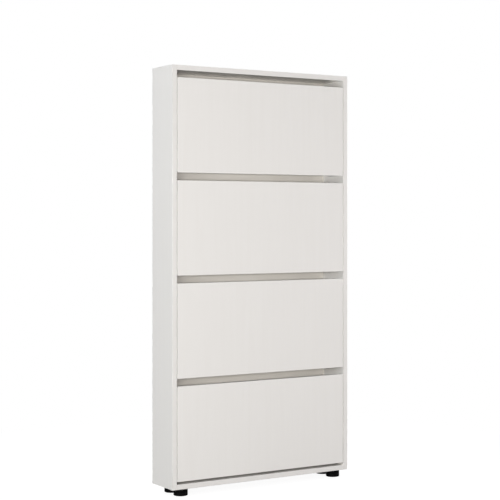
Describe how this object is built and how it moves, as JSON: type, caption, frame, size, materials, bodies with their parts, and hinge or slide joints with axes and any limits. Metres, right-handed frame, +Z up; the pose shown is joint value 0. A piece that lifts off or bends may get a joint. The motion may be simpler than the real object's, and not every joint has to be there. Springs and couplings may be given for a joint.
{
  "type": "shoe cabinet",
  "caption": "Tall, slim white shoe cabinet with tilt-out flap bins, finger gaps instead of handles, and round glide feet.",
  "frame": {"origin": "on the floor under the middle of the cabinet's footprint", "axes": "+Z up, the flap fronts face -Y, +X to the right when the front is looked at"},
  "size_m": [0.745, 0.15, 1.5],
  "materials": {
    "white_board": "white melamine-faced particle board, satin",
    "white_sheet": "thin fibreboard, white foil on one face",
    "grey_plastic": "moulded light grey plastic",
    "black_plastic": "moulded black plastic",
    "zinc_steel": "zinc plated"
  },
  "bodies": {
    "cabinet": {"side_panel_left": "white_board", "side_panel_right": "white_board", "top_panel": "white_board", "bottom_panel": "white_board", "back_panel": "white_sheet", "stretcher_rail_1": "white_board", "stretcher_rail_2": "white_board", "stretcher_rail_3": "white_board", "cam_lock_top_left": "zinc_steel", "cam_lock_top_right": "zinc_steel", "cam_lock_bottom_left": "zinc_steel", "cam_lock_bottom_right": "zinc_steel", "foot_front_left": "black_plastic", "foot_screw_front_left": "zinc_steel", "foot_front_right": "black_plastic", "foot_screw_front_right": "zinc_steel", "foot_rear_left": "black_plastic", "foot_screw_rear_left": "zinc_steel", "foot_rear_right": "black_plastic", "foot_screw_rear_right": "zinc_steel", "wall_hanger_left": "zinc_steel", "wall_hanger_right": "zinc_steel", "pivot_stud_left_1": "grey_plastic", "stop_peg_left_1": "grey_plastic", "pivot_stud_right_1": "grey_plastic", "stop_peg_right_1": "grey_plastic", "pivot_stud_left_2": "grey_plastic", "stop_peg_left_2": "grey_plastic", "pivot_stud_right_2": "grey_plastic", "stop_peg_right_2": "grey_plastic", "pivot_stud_left_3": "grey_plastic", "stop_peg_left_3": "grey_plastic", "pivot_stud_right_3": "grey_plastic", "stop_peg_right_3": "grey_plastic", "pivot_stud_left_4": "grey_plastic", "stop_peg_left_4": "grey_plastic", "pivot_stud_right_4": "grey_plastic", "stop_peg_right_4": "grey_plastic"},
    "flap_1": {"front_panel_1": "white_board", "bracket_left_1": "grey_plastic", "bracket_right_1": "grey_plastic", "bin_floor_1": "white_board", "bin_back_1": "white_sheet"},
    "flap_2": {"front_panel_2": "white_board", "bracket_left_2": "grey_plastic", "bracket_right_2": "grey_plastic", "bin_floor_2": "white_board", "bin_back_2": "white_sheet"},
    "flap_3": {"front_panel_3": "white_board", "bracket_left_3": "grey_plastic", "bracket_right_3": "grey_plastic", "bin_floor_3": "white_board", "bin_back_3": "white_sheet"},
    "flap_4": {"front_panel_4": "white_board", "bracket_left_4": "grey_plastic", "bracket_right_4": "grey_plastic", "bin_floor_4": "white_board", "bin_back_4": "white_sheet"}
  },
  "joints": [
    {"name": "flap_1_tilt", "type": "hinge", "parent": "cabinet", "child": "flap_1", "pos_m": [0, -0.05, 1.162], "axis": [1, 0, 0], "range_deg": [0, 40]},
    {"name": "flap_2_tilt", "type": "hinge", "parent": "cabinet", "child": "flap_2", "pos_m": [0, -0.05, 0.804], "axis": [1, 0, 0], "range_deg": [0, 40]},
    {"name": "flap_3_tilt", "type": "hinge", "parent": "cabinet", "child": "flap_3", "pos_m": [0, -0.05, 0.446], "axis": [1, 0, 0], "range_deg": [0, 40]},
    {"name": "flap_4_tilt", "type": "hinge", "parent": "cabinet", "child": "flap_4", "pos_m": [0, -0.05, 0.088], "axis": [1, 0, 0], "range_deg": [0, 40]}
  ]
}
